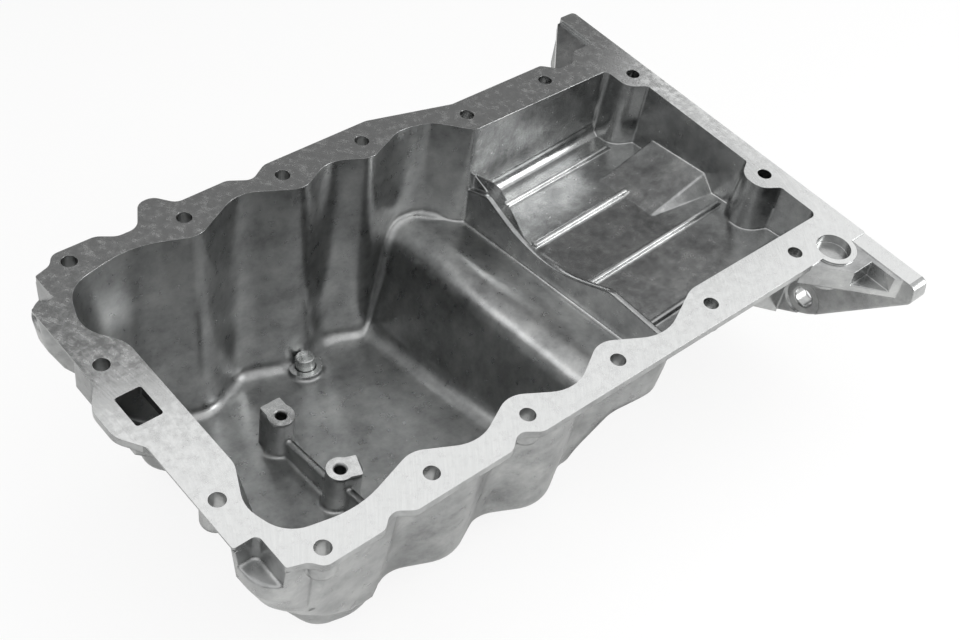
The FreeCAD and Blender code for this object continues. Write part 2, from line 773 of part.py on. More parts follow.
def drain_plug():
    """Drain plug: hexagon head, collar and shank with a bevelled end."""
    seat = -WALL - PAD_H - WASHER_T
    shank = post(0, 0, PLUG_R, seat - 0.5, PLUG_REACH - PLUG_BEVEL)
    end = Part.makeCone(PLUG_R, PLUG_R - PLUG_BEVEL, PLUG_BEVEL, V(0, 0, PLUG_REACH - PLUG_BEVEL))
    collar = post(0, 0, PLUG_COLLAR_R, seat - PLUG_COLLAR_H, seat)
    corner = 0.5 * PLUG_AF / math.cos(math.radians(30.0))
    low = seat - PLUG_COLLAR_H - PLUG_HEAD_H
    points = [V(corner * math.cos(math.radians(60.0 * k)), corner * math.sin(math.radians(60.0 * k)), low)
              for k in range(6)]
    head = Part.Face(Part.makePolygon(points + [points[0]])).extrude(V(0, 0, PLUG_HEAD_H + 0.5))
    bevel = Part.makeCone(0.5 * PLUG_AF, 0.5 * PLUG_AF + 2.0 * PLUG_HEAD_H, PLUG_HEAD_H + 0.5, V(0, 0, low))
    return drain_frame(shank.fuse([end, collar, head.common(bevel)]))


if __name__ == "__main__":
    nodes = {
        "oil_pan_casting": casting(),
        "drain_plug_washer": drain_washer(),
        "drain_plug": drain_plug(),
    }
    for name, shape in nodes.items():
        shape.translate(V(-BOLTS["front_2"][0], 0, 0))
        shape.exportStep("parts/%s.step" % name)
        print(name, "cm3", round(shape.Volume / 1000.0, 2), shape.isValid(), len(shape.Solids))
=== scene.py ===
"""Looks of a cast aluminium engine oil pan: finishes, drain plug, soft boxes and camera."""
import logging
import math
from dataclasses import dataclass, field
from enum import Enum
from typing import Any, Optional, Sequence

import bmesh
import bpy
from mathutils import Matrix, Vector


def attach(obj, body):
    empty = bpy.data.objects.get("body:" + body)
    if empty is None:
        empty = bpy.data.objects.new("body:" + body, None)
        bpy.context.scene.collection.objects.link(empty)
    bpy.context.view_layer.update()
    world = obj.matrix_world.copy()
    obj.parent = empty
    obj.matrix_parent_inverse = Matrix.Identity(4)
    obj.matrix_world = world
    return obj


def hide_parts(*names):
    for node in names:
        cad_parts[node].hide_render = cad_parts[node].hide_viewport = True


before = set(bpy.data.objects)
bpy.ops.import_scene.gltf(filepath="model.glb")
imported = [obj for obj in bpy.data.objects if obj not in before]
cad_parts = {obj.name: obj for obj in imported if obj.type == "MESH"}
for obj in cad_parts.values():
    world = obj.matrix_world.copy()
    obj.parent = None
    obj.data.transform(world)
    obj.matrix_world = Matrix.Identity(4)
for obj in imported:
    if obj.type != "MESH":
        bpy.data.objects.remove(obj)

LOG = logging.getLogger("oil_pan")
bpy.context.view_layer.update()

# Metres in a millimetre
MM = 0.001

# Distance in millimetres within which two corners of the plug's mesh are one
MERGE = 1e-7
HEX_SIDES = 6
WHITE = (1.0, 1.0, 1.0, 1.0)

# Length after which Blender's wave texture repeats at a scale of 1
WAVE_RUN = math.tau / 20.0

# Places along X are counted from the foot of the sump's ramp, as in the part's source,
# and this shift brings them to the frame's origin between the second pair of rail holes.
SHIFT_X = 0.1278


class Node(str, Enum):
    """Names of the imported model's nodes."""

    CASTING = "oil_pan_casting"
    PLUG = "drain_plug"
    WASHER = "drain_plug_washer"


class Body(str, Enum):
    """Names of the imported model's bodies that a made piece rides on."""

    PLUG = "plug"


def linear(code: str) -> tuple[float, float, float, float]:
    """Turns an sRGB hex colour to linear.

    Args:
        code: Colour as "#rrggbb".

    Returns:
        Red, green, blue and alpha in linear light.
    """
    parts = [int(code[i:i + 2], 16) / 255.0 for i in (1, 3, 5)]
    low = [c / 12.92 if c <= 0.04045 else ((c + 0.055) / 1.055) ** 2.4 for c in parts]
    return (low[0], low[1], low[2], 1.0)


def add(tree: Any, kind: str, settings: Optional[dict] = None, **sockets: Any) -> Any:
    """Adds a shader node with its settings, socket values and links.

    A mix takes numbers at 2 and 3, vectors at 4 and 5 and colours at 6 and 7, and gives
    them at outputs 0, 1 and 2.

    Args:
        tree: Node tree that gets the node.
        kind: Blender's type name of the node, without the leading ShaderNode.
        settings: Attributes of the node.
        **sockets: What goes into each input: a value, a socket, or a node for its first
            output. The input is given by its name with _ for a space, or by its place
            as i0, i1 and so on.

    Returns:
        The new node.
    """
    node = tree.nodes.new("ShaderNode" + kind)
    for name, value in (settings or {}).items():
        setattr(node, name, value)
    for name, value in sockets.items():
        by_place = name[1:].isdigit()
        socket = node.inputs[int(name[1:])] if by_place else node.inputs[name.replace("_", " ")]
        if isinstance(value, bpy.types.Node):
            value = value.outputs[0]
        if isinstance(value, bpy.types.NodeSocket):
            tree.links.new(value, socket)
        else:
            socket.default_value = value
    return node


def start_material(name: str) -> tuple[Any, Any, Any]:
    """Opens an empty node material.

    Args:
        name: Name of the material.

    Returns:
        The material, its tree and its output node.
    """
    material = bpy.data.materials.new(name)
    material.use_nodes = True
    tree = material.node_tree
    tree.nodes.clear()
    return material, tree, add(tree, "OutputMaterial")


@dataclass(frozen=True)
class Blotches:
    """A noise pattern in three dimensions, given by its real size.

    Attributes:
        size_mm: About the size of one blotch.
        octaves: How many finer patterns lie over it.
        keep: Share of its strength that each finer pattern keeps.
    """

    size_mm: float
    octaves: float = 2.0
    keep: float = 0.5

    def sockets(self) -> dict[str, float]:
        """Values of the noise's inputs, for a place in metres."""
        return {"Scale": 1.0 / (self.size_mm * MM), "Detail": self.octaves, "Roughness": self.keep}


class DrainLine:
    """The drain's axis: square to the sump floor, which leans 12 degrees about X."""

    LEAN = 12.0
    SIN = math.sin(math.radians(LEAN))
    COS = math.cos(math.radians(LEAN))
    X = -0.0575 + SHIFT_X
    Y = 0.0765
    Z = -0.1295 - math.tan(math.radians(LEAN)) * Y

    @classmethod
    def level(cls, height_mm: float) -> float:
        """Distance from the origin, along the axis direction, of a height over the floor."""
        return cls.Y * cls.SIN + cls.Z * cls.COS + height_mm * MM

    @classmethod
    def matrix(cls) -> Matrix:
        """Placement that brings a shape drawn on +Z at the floor to the drain."""
        turn = Matrix.Rotation(math.radians(-cls.LEAN), 4, "X")
        return Matrix.Translation((cls.X, cls.Y, cls.Z)) @ turn


UP = (0.0, 0.0, 1.0)
DRAIN_UP = (0.0, DrainLine.SIN, DrainLine.COS)
DRAIN_DOWN = (0.0, -DrainLine.SIN, -DrainLine.COS)

# Planes of the machined faces: which way each faces, and its distance from the origin that way
MILLED_PLANES = (
    (UP, 0.0),                             # the rail
    (UP, -0.8 * MM),                       # the flange's upper edge
    ((1.0, 0.0, 0.0), 0.207 + SHIFT_X),    # the flange's face to the gearbox
    (UP, -104.877 * MM),                   # top of the farther pick-up boss
    (UP, -92.442 * MM),                    # top of the nearer pick-up boss
    (DRAIN_UP, DrainLine.level(4.0)),      # the ring round the drain, inside
    (DRAIN_DOWN, -DrainLine.level(-7.0)),  # the drain's seat, outside
)


@dataclass(frozen=True)
class CornerRounding:
    """Radii that the cast corners show, and where one gives way to another, in millimetres.

    Attributes:
        sump: In the sump.
        back_foot: Along the foot of the sump's back wall.
        back_y: Where along Y that foot begins.
        back_run: Length along Y of the change before it.
        tray: In the tray.
        tray_x: Where along X the tray begins.
        tray_run: Length along X of the change before it.
        rim: Near the rail's face.
        rim_start: Depth below the rail at which the radius begins to shrink.
        rim_end: Depth at which it is the rim's.
        samples: Directions that each rounding looks in.
    """

    sump: float = 5.0
    back_foot: float = 12.0
    back_y: float = 88.0
    back_run: float = 6.0
    tray: float = 2.2
    tray_x: float = 193.0
    tray_run: float = 4.0
    rim: float = 0.7
    rim_start: float = 25.0
    rim_end: float = 3.0
    samples: int = 16

    def normal(self, tree: Any, shape: Any, mask: Any) -> Any:
        """Adds the rounding, which leaves the milled faces flat.

        Args:
            tree: Node tree.
            shape: Geometry node.
            mask: Node or socket that is 1 on the milled faces.

        Returns:
            A socket with the normal.
        """
        spot = add(tree, "SeparateXYZ", i0=shape.outputs["Position"])
        back = add(tree, "MapRange", i0=spot.outputs[1], i1=(self.back_y - self.back_run) * MM,
                   i2=self.back_y * MM, i3=self.sump * MM, i4=self.back_foot * MM)
        wide = self.past_dam(tree, shape, back, self.tray * MM)
        radius = add(tree, "MapRange", i0=spot.outputs[2], i1=-self.rim_start * MM,
                     i2=-self.rim_end * MM, i3=wide, i4=self.rim * MM)
        corner = add(tree, "Bevel", {"samples": self.samples}, Radius=radius)
        crisp = add(tree, "Mix", {"data_type": "VECTOR"}, i0=mask, i4=corner, i5=shape.outputs["Normal"])
        return crisp.outputs[1]

    def past_dam(self, tree: Any, shape: Any, sump: Any, tray: float) -> Any:
        """Adds a value that goes from the sump's to the tray's as X passes the dam.

        Args:
            tree: Node tree.
            shape: Geometry node.
            sump: Value or node for the sump's side.
            tray: Value on the tray's side.

        Returns:
            The node that gives it.
        """
        along = add(tree, "SeparateXYZ", i0=shape.outputs["Position"]).outputs[0]
        share = add(tree, "MapRange", i0=along, i1=(self.tray_x - self.tray_run) * MM,
                    i2=self.tray_x * MM)
        return add(tree, "Mix", {"data_type": "FLOAT"}, i0=share, i2=sump, i3=tray)


@dataclass(frozen=True)
class CutterStreaks:
    """Uneven arcs that a face mill leaves as it feeds along X, coarser than real so that they show."""

    radius_mm: float = 180.0
    spacing_mm: float = 1.4
    run_mm: float = 26.0
    octaves: float = 4.0
    keep: float = 0.6

    def draw(self, tree: Any, place: Any) -> Any:
        """Adds the arcs, which vary fast across themselves and slowly along.

        Args:
            tree: Node tree.
            place: Socket with the place in metres.

        Returns:
            The node that gives them, between 0 and 1.
        """
        split = add(tree, "SeparateXYZ", i0=place)
        square = add(tree, "Math", {"operation": "POWER"}, i0=split.outputs[1], i1=2.0)
        rest = add(tree, "Math", {"operation": "SUBTRACT", "use_clamp": True},
                   i0=(self.radius_mm * MM) ** 2, i1=square)
        back = add(tree, "Math", {"operation": "SQRT"}, i0=rest)
        along = add(tree, "Math", {"operation": "SUBTRACT"}, i0=split.outputs[0], i1=back)
        fast = add(tree, "Math", {"operation": "MULTIPLY"}, i0=along, i1=1.0 / (self.spacing_mm * MM))
        slow = add(tree, "Math", {"operation": "MULTIPLY"}, i0=split.outputs[1],
                   i1=1.0 / (self.run_mm * MM))
        spot = add(tree, "CombineXYZ", i0=fast, i1=slow)
        return add(tree, "TexNoise", Vector=spot, Scale=1.0, Detail=self.octaves, Roughness=self.keep)


@dataclass(frozen=True)
class GravityCastAluminium:
    """Bare gravity-cast aluminium with milled joint faces.

    The cast skin is a satin grey with faint flow marks and stains, and its corners are
    rounded, so each one draws a soft bright line. The milled faces are brighter and
    mirror the room in a slightly smeared way along the cutter's arcs.

    Attributes:
        skin_stops: Places in the stain pattern of the skin's dark, middle and pale tones.
        mottle_share: Weight of the mottle against the stains.
        speck_share: Weight of the specks against the stains.
        mottle_gloss: How far the mottle changes the skin's roughness.
        scuff_gloss: How far the scuffs blur the milled faces at most.
        scuff_range: Levels of the scuff pattern between which it begins and is full.
        swell_share: Height of the skin's swell against its grain.
        relief_mm: Height of the grain.
        relief_strength: Share of the relief that shows.
        plane_gap_mm: Distance from a milled plane within which a face counts as on it.
        plane_cosine: Smallest cosine between the two at which it counts as facing its way.
    """

    skin: str = "#a5a6a6"
    skin_dark: str = "#8b8c8c"
    skin_pale: str = "#bcbdbc"
    skin_stops: tuple[float, float, float] = (0.50, 0.72, 0.95)
    milled: str = "#dfe0df"
    milled_dark: str = "#cbcccc"
    sump_roughness: float = 0.20
    tray_roughness: float = 0.14
    milled_roughness: float = 0.13
    mottle_gloss: float = 0.20
    scuff_gloss: float = 0.34
    scuff_range: tuple[float, float] = (0.42, 0.64)
    stain: Blotches = Blotches(26.0, 4.0, 0.62)
    mottle: Blotches = Blotches(7.0, 5.0, 0.6)
    speck: Blotches = Blotches(1.8, 3.0, 0.7)
    swell: Blotches = Blotches(16.0, 1.0, 0.4)
    grain: Blotches = Blotches(1.3, 2.0, 0.5)
    scuff: Blotches = Blotches(5.5, 6.0, 0.7)
    mottle_share: float = 0.45
    speck_share: float = 0.16
    swell_share: float = 8.0
    relief_mm: float = 0.04
    relief_strength: float = 0.5
    plane_gap_mm: float = 0.25
    plane_cosine: float = 0.999
    streaks: CutterStreaks = CutterStreaks()
    corners: CornerRounding = CornerRounding()

    def build(self) -> Any:
        """Makes the material.

        Returns:
            The material.
        """
        material, tree, output = start_material("gravity_cast_aluminium_milled")
        place = add(tree, "TexCoord").outputs["Object"]
        shape = add(tree, "NewGeometry")
        mask = self.milled_mask(tree, shape)
        mottle = add(tree, "TexNoise", Vector=place, **self.mottle.sockets())
        grain = add(tree, "TexNoise", Vector=place, **self.grain.sockets())
        swell = add(tree, "TexNoise", Vector=place, **self.swell.sockets())
        streak = self.streaks.draw(tree, place)
        skin = self.skin_tone(tree, place, mottle)
        cut = add(tree, "Mix", {"data_type": "RGBA"}, i0=streak, i6=linear(self.milled_dark),
                  i7=linear(self.milled))
        tone = add(tree, "Mix", {"data_type": "RGBA"}, i0=mask, i6=skin, i7=cut.outputs[2])
        level = self.corners.past_dam(tree, shape, self.sump_roughness, self.tray_roughness)
        rough = add(tree, "Math", {"operation": "MULTIPLY_ADD"}, i0=mottle, i1=self.mottle_gloss,
                    i2=level)
        worn = self.cut_roughness(tree, place, streak)
        gloss = add(tree, "Mix", {"data_type": "FLOAT"}, i0=mask, i2=rough, i3=worn)
        relief = add(tree, "Math", {"operation": "MULTIPLY_ADD"}, i0=swell, i1=self.swell_share,
                     i2=grain)
        height = add(tree, "Mix", {"data_type": "FLOAT"}, i0=mask, i2=relief, i3=streak)
        bump = add(tree, "Bump", Strength=self.relief_strength, Distance=self.relief_mm * MM,
                   Height=height, Normal=self.corners.normal(tree, shape, mask))
        shader = add(tree, "BsdfPrincipled", Base_Color=tone.outputs[2], Metallic=1.0,
                     Roughness=gloss, Normal=bump)
        tree.links.new(shader.outputs[0], output.inputs["Surface"])
        return material

    def skin_tone(self, tree: Any, place: Any, mottle: Any) -> Any:
        """Adds the cast skin's colour: stains with a mottle and small specks over them.

        Args:
            tree: Node tree.
            place: Socket with the place in metres.
            mottle: The mottle's node.

        Returns:
            The node that gives the colour.
        """
        stain = add(tree, "TexNoise", Vector=place, **self.stain.sockets())
        speck = add(tree, "TexNoise", Vector=place, **self.speck.sockets())
        both = add(tree, "Math", {"operation": "MULTIPLY_ADD"}, i0=mottle, i1=self.mottle_share, i2=stain)
        both = add(tree, "Math", {"operation": "MULTIPLY_ADD"}, i0=speck, i1=self.speck_share, i2=both)
        both = add(tree, "Math", {"operation": "SUBTRACT"}, i0=both, i1=0.5 * self.speck_share)
        ramp = add(tree, "ValToRGB", i0=both)
        stops = ramp.color_ramp.elements
        stops.new(1.0)
        for stop, position, code in zip(stops, self.skin_stops, (self.skin_dark, self.skin, self.skin_pale)):
            stop.position = position
            stop.color = linear(code)
        return ramp

    def cut_roughness(self, tree: Any, place: Any, streak: Any) -> Any:
        """Adds the milled faces' roughness: smooth, and blurred where they are scuffed.

        Args:
            tree: Node tree.
            place: Socket with the place in metres.
            streak: The cutter streaks' node.

        Returns:
            The node that gives the roughness.
        """
        start, full = self.scuff_range
        marks = add(tree, "TexNoise", Vector=place, **self.scuff.sockets())
        scuffed = add(tree, "MapRange", i0=marks, i1=start, i2=full)
        worn = add(tree, "Math", {"operation": "MULTIPLY"}, i0=scuffed, i1=streak)
        return add(tree, "Math", {"operation": "MULTIPLY_ADD"}, i0=worn, i1=self.scuff_gloss,
                   i2=self.milled_roughness)

    def milled_mask(self, tree: Any, shape: Any) -> Any:
        """Adds a mask that is 1 on the faces a cutter has passed over.

        Args:
            tree: Node tree.
            shape: Geometry node.

        Returns:
            The node that gives it.
        """
        dot = {"operation": "DOT_PRODUCT"}
        mask = None
        for normal, level in MILLED_PLANES:
            along = add(tree, "VectorMath", dot, i0=shape.outputs["Position"], i1=normal)
            facing = add(tree, "VectorMath", dot, i0=shape.outputs["True Normal"], i1=normal)
            near = add(tree, "Math", {"operation": "COMPARE"}, i0=along.outputs["Value"], i1=level,
                       i2=self.plane_gap_mm * MM)
            flat = add(tree, "Math", {"operation": "GREATER_THAN"}, i0=facing.outputs["Value"],
                       i1=self.plane_cosine)
            face = add(tree, "Math", {"operation": "MULTIPLY"}, i0=near, i1=flat)
            mask = face if mask is None else add(tree, "Math", {"operation": "MAXIMUM"}, i0=mask, i1=face)
        return mask


@dataclass(frozen=True)
class ZincPlatedSteel:
    """Turned steel with bright zinc: a cool pale metal with blotches and faint turning lines.

    Attributes:
        blotch_gloss: How far the blotches change the roughness.
        line_mm: Distance between turning lines, coarser than real so that they show.
        waver: How far the lines waver.
        relief_mm: Height of the lines.
        relief_strength: Share of it that shows.
        corner_mm: Radius that the corners show.
    """

    tone: str = "#d6d8d7"
    dull: str = "#a9abaa"
    roughness: float = 0.20
    blotch_gloss: float = 0.15
    blotch: Blotches = Blotches(3.0, 3.0)
    line_mm: float = 5.655
    waver: float = 0.6
    relief_mm: float = 0.1
    relief_strength: float = 0.04
    corner_mm: float = 0.4
    corner_samples: int = 6

    def build(self) -> Any:
        """Makes the material.

        Returns:
            The material.
        """
        material, tree, output = start_material("zinc_plated_turned_steel")
        place = add(tree, "TexCoord").outputs["Object"]
        blotch = add(tree, "TexNoise", Vector=place, **self.blotch.sockets())
        lines = add(tree, "TexWave", {"wave_type": "RINGS", "rings_direction": "SPHERICAL"},
                    Vector=place, Scale=WAVE_RUN / (self.line_mm * MM), Distortion=self.waver)
        tone = add(tree, "Mix", {"data_type": "RGBA"}, i0=blotch, i6=linear(self.dull),
                   i7=linear(self.tone))
        rough = add(tree, "Math", {"operation": "MULTIPLY_ADD"}, i0=blotch, i1=self.blotch_gloss,
                    i2=self.roughness)
        corner = add(tree, "Bevel", {"samples": self.corner_samples}, Radius=self.corner_mm * MM)
        bump = add(tree, "Bump", Strength=self.relief_strength, Distance=self.relief_mm * MM,
                   Height=lines.outputs["Fac"], Normal=corner)
        shader = add(tree, "BsdfPrincipled", Base_Color=tone.outputs[2], Metallic=1.0,
                     Roughness=rough, Normal=bump)
        tree.links.new(shader.outputs[0], output.inputs["Surface"])
        return material


@dataclass(frozen=True)
class SoftAluminiumSeal:
    """Annealed aluminium, stamped to a sealing ring: dull, slightly scuffed and soft to the eye."""

    tone: str = "#b9bbbb"
    scuff: str = "#8f9191"
    roughness: float = 0.45
    marks: Blotches = Blotches(2.2, 4.0)
    relief_mm: float = 0.1
    relief_strength: float = 0.15

    def build(self) -> Any:
        """Makes the material.

        Returns:
            The material.
        """
        material, tree, output = start_material("annealed_aluminium_seal")
        place = add(tree, "TexCoord").outputs["Object"]
        marks = add(tree, "TexNoise", Vector=place, **self.marks.sockets())
        tone = add(tree, "Mix", {"data_type": "RGBA"}, i0=marks, i6=linear(self.scuff),
                   i7=linear(self.tone))
        bump = add(tree, "Bump", Strength=self.relief_strength, Distance=self.relief_mm * MM,
                   Height=marks)
        shader = add(tree, "BsdfPrincipled", Base_Color=tone.outputs[2], Metallic=1.0,
                     Roughness=self.roughness, Normal=bump)
        tree.links.new(shader.outputs[0], output.inputs["Surface"])
        return material


@dataclass(frozen=True)
class PaperSweep:
    """White studio paper: pale and matt, seen as plain white, with a faint shadow on it.

    Attributes:
        shown_white: Share of plain white that the camera sees, the rest being lit paper.
        mirrored_white: The same share for what metal mirrors.
    """

    tone: str = "#f4f4f3"
    shown_white: float = 0.86
    mirrored_white: float = 0.1

    def build(self) -> Any:
        """Makes the material.

        Returns:
            The material.
        """
        material, tree, output = start_material("white_studio_paper")
        path = add(tree, "LightPath")
        seen = add(tree, "Math", {"operation": "MAXIMUM"}, i0=path.outputs["Is Camera Ray"],
                   i1=path.outputs["Is Transmission Ray"])
        mirrored = add(tree, "Math", {"operation": "MULTIPLY"}, i0=path.outputs["Is Glossy Ray"],
                       i1=self.mirrored_white)
        share = add(tree, "Math", {"operation": "MULTIPLY_ADD"}, i0=seen, i1=self.shown_white,
                    i2=mirrored)
        matt = add(tree, "BsdfDiffuse", Color=linear(self.tone))
        glow = add(tree, "Emission", Color=WHITE, Strength=1.0)
        mixed = add(tree, "MixShader", i0=share, i1=matt, i2=glow)
        tree.links.new(mixed.outputs[0], output.inputs["Surface"])
        return material


@dataclass
class Casting:
    """The pan itself: one casting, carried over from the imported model."""

    finish: GravityCastAluminium = field(default_factory=GravityCastAluminium)

    def dress(self) -> None:
        """Gives the casting its finish."""
        give(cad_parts[Node.CASTING.value], self.finish.build())


@dataclass
class SealingRing:
    """The ring under the plug's collar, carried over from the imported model."""

    finish: SoftAluminiumSeal = field(default_factory=SoftAluminiumSeal)

    def dress(self) -> None:
        """Gives the ring its finish."""
        give(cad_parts[Node.WASHER.value], self.finish.build())


@dataclass
class DrainPlug:
    """Threaded drain plug in the sump floor. Heights count from the floor, along the plug.

    Attributes:
        crest_mm: Radius over the thread.
        root_mm: Radius in its groove.
        pitch_mm: Rise of one turn.
        profile: Shares of the pitch at which the crest begins and ends and the groove begins.
        seat_mm: Height of the collar's upper face.
        reach_mm: Height of the plain end.
        tip_mm: Length of the plain end over the thread.
        tip_radius_mm: Radius of the plain end.
        tip_bevel_mm: Width and height of that end's bevel.
        core_mm: Radius of the closed core inside the thread.
        overlap_mm: How far one shape reaches into the next.
        dimple_mm: Radius of the dimple in the end.
        dimple_depth_mm: Depth of the dimple, and the width of its slanted side.
        collar_mm: Radius of the collar.
        collar_t_mm: Its thickness.
        head_mm: Height of the head.
        head_bevel_mm: Width and height of what is turned off its corners.
        face_share: Radius of its flat end as a share of the width across flats.
        steps: Sides of each round shape.
    """

    crest_mm: float = 6.95
    root_mm: float = 6.05
    pitch_mm: float = 1.5
    profile: tuple[float, float, float] = (0.30, 0.45, 0.75)
    seat_mm: float = -8.6
    reach_mm: float = 12.0
    tip_mm: float = 8.0
    tip_radius_mm: float = 6.35
    tip_bevel_mm: tuple[float, float] = (0.45, 0.4)
    core_mm: float = 6.0
    overlap_mm: float = 0.2
    dimple_mm: float = 2.4
    dimple_depth_mm: float = 0.3
    collar_mm: float = 11.5
    collar_t_mm: float = 2.0
    collar_bevel_mm: float = 0.3
    across_flats_mm: float = 19.0
    head_mm: float = 7.0
    head_bevel_mm: tuple[float, float] = (1.1, 1.0)
    face_share: float = 0.47
    steps: int = 48
    smooth_degrees: float = 35.0
    steel: ZincPlatedSteel = field(default_factory=ZincPlatedSteel)

    def build(self) -> None:
        """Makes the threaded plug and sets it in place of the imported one."""
        mesh = bpy.data.meshes.new("threaded_drain_plug")
        shape = bmesh.new()
        self.thread(shape)
        self.end(shape)
        self.collar(shape)
        self.head(shape)
        bmesh.ops.remove_doubles(shape, verts=shape.verts, dist=MERGE)
        bmesh.ops.recalc_face_normals(shape, faces=shape.faces)
        shape.transform(Matrix.Scale(MM, 4))
        shape.transform(DrainLine.matrix())
        shape.to_mesh(mesh)
        shape.free()
        plug = bpy.data.objects.new("threaded_drain_plug", mesh)
        bpy.context.scene.collection.objects.link(plug)
        smooth_by_angle(plug, self.smooth_degrees)
        give(plug, self.steel.build())
        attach(plug, Body.PLUG.value)
        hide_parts(Node.PLUG.value)

    def thread(self, shape: bmesh.types.BMesh) -> None:
        """Adds the helical thread between the collar and the plain end.

        Args:
            shape: Mesh that gets the faces, in millimetres on its own axis.
        """
        low = self.seat_mm
        high = self.reach_mm - self.tip_mm
        crest_start, crest_end, root_start = self.profile
        outline = ((0.0, self.root_mm), (crest_start, self.crest_mm), (crest_end, self.crest_mm),
                   (root_start, self.root_mm), (1.0, self.root_mm))
        rows = []
        count = int((high - low) / self.pitch_mm * self.steps)
        for i in range(count + 1):
            angle = 2.0 * math.pi * i / self.steps
            rise = low - self.pitch_mm + i * self.pitch_mm / self.steps
            row = []
            for part, radius in outline:
                z = min(max(rise + part * self.pitch_mm, low), high)
                row.append(shape.verts.new((radius * math.cos(angle), radius * math.sin(angle), z)))
            rows.append(row)
        for one, two in zip(rows, rows[1:]):
            for k in range(len(one) - 1):
                shape.faces.new((one[k], two[k], two[k + 1], one[k + 1]))

    def ring(self, shape: bmesh.types.BMesh, radius: float, z: float, sides: int) -> list:
        """Adds the corners of a regular polygon on the axis.

        Args:
            shape: Mesh that gets the corners.
            radius: Distance of each corner from the axis.
            z: Their height.
            sides: How many there are.

        Returns:
            The corners in order.
        """
        turn = 2.0 * math.pi / sides
        return [shape.verts.new((radius * math.cos(i * turn), radius * math.sin(i * turn), z))
                for i in range(sides)]

    def lathe(self, shape: bmesh.types.BMesh, outline: Sequence[tuple[float, float]],
              sides: int) -> None:
        """Turns an outline round the axis and closes both of its ends.

        Args:
            shape: Mesh that gets the faces.
            outline: Radius and height of each point, from one end to the other.
            sides: Sides of the turned shape, many for a round one and six for a hexagon.
        """
        rings = [self.ring(shape, radius, z, sides) for radius, z in outline]
        for one, two in zip(rings, rings[1:]):
            for i in range(sides):
                j = (i + 1) % sides
                shape.faces.new((one[i], one[j], two[j], two[i]))
        shape.faces.new(list(reversed(rings[0])))
        shape.faces.new(rings[-1])

    def end(self, shape: bmesh.types.BMesh) -> None:
        """Adds the core and the plain bevelled end with its shallow centre dimple.

        Args:
            shape: Mesh that gets the faces.
        """
        top = self.reach_mm
        low = top - self.tip_mm
        across, down = self.tip_bevel_mm
        depth = self.dimple_depth_mm
        outline = (
            (self.core_mm, self.seat_mm - self.collar_bevel_mm),
            (self.core_mm, low - self.overlap_mm),
            (self.tip_radius_mm, low),
            (self.tip_radius_mm, top - down),
            (self.tip_radius_mm - across, top),
            (self.dimple_mm, top),
            (self.dimple_mm - depth, top - depth),
        )
        self.lathe(shape, outline, self.steps)

    def collar(self, shape: bmesh.types.BMesh) -> None:
        """Adds the round collar that presses the sealing ring.

        Args:
            shape: Mesh that gets the faces.
        """
        top = self.seat_mm
        low = top - self.collar_t_mm
        radius = self.collar_mm
        bevel = self.collar_bevel_mm
        outline = ((radius - bevel, low), (radius, low + bevel), (radius, top - bevel),
                   (radius - bevel, top))
        self.lathe(shape, outline, self.steps)

    def head(self, shape: bmesh.types.BMesh) -> None:
        """Adds the hexagon head with its corners turned off.

        Args:
            shape: Mesh that gets the faces.
        """
        top = self.seat_mm - self.collar_t_mm
        low = top - self.head_mm
        corner = 0.5 * self.across_flats_mm / math.cos(math.pi / HEX_SIDES)
        across, up = self.head_bevel_mm
        outline = (
            (corner, top + self.overlap_mm),
            (corner, low + up),
            (corner - across, low),
            (self.face_share * self.across_flats_mm, low),
        )
        self.lathe(shape, outline, HEX_SIDES)


def give(piece: Any, material: Any) -> None:
    """Puts a material in all of a piece's slots.

    Args:
        piece: Mesh object.
        material: Material for it.
    """
    if not piece.material_slots:
        piece.data.materials.append(material)
    for slot in piece.material_slots:
        slot.material = material


def smooth_by_angle(piece: Any, degrees: float) -> None:
    """Shades a piece smooth, but for edges sharper than an angle.

    Args:
        piece: Mesh object.
        degrees: Smallest angle of an edge that stays sharp.
    """
    mesh = piece.data
    mesh.polygons.foreach_set("use_smooth", [True] * len(mesh.polygons))
    mesh.set_sharp_from_angle(angle=math.radians(degrees))


@dataclass(frozen=True)
class SoftBox:
    """A soft box: an evenly lit rectangle that also shows in the metal. Lengths are in metres.

    Attributes:
        name: Name of the lamp.
        width: Its width.
        depth: Its depth, or its height where it stands.
        power: Its power in watts.
    """

    name: str
    width: float
    depth: float
    power: float

    def lamp(self) -> Any:
        """Adds the lamp at the origin, shining down.

        Returns:
            The lamp.
        """
        data = bpy.data.lights.new(self.name, "AREA")
        data.shape = "RECTANGLE"
        data.size = self.width
        data.size_y = self.depth
        data.energy = self.power
        lamp = bpy.data.objects.new(self.name, data)
        bpy.context.scene.collection.objects.link(lamp)
        return lamp


@dataclass(frozen=True)
class LevelBox(SoftBox):
    """A soft box overhead, placed by its far edge, because that edge shows in the milled face.

    Attributes:
        start: One point on the far edge, seen from above.
        end: Another point on it, to the right of the first.
        height: Height over the rail.
        middle_at: Share of the way from start to end at which the box has its middle.
    """

    start: tuple[float, float]
    end: tuple[float, float]
    height: float = 0.62
    middle_at: float = 0.5

    def build(self) -> None:
        """Adds the box, which reaches from its far edge toward the camera."""
        first, last = (Vector((*point, self.height)) for point in (self.start, self.end))
        along = (last - first).normalized()
        across = Vector((along.y, -along.x, 0.0))
        middle = first.lerp(last, self.middle_at) + across * (0.5 * self.depth)
        turn = Matrix.Rotation(math.atan2(along.y, along.x), 4, "Z")
        self.lamp().matrix_world = Matrix.Translation(middle) @ turn


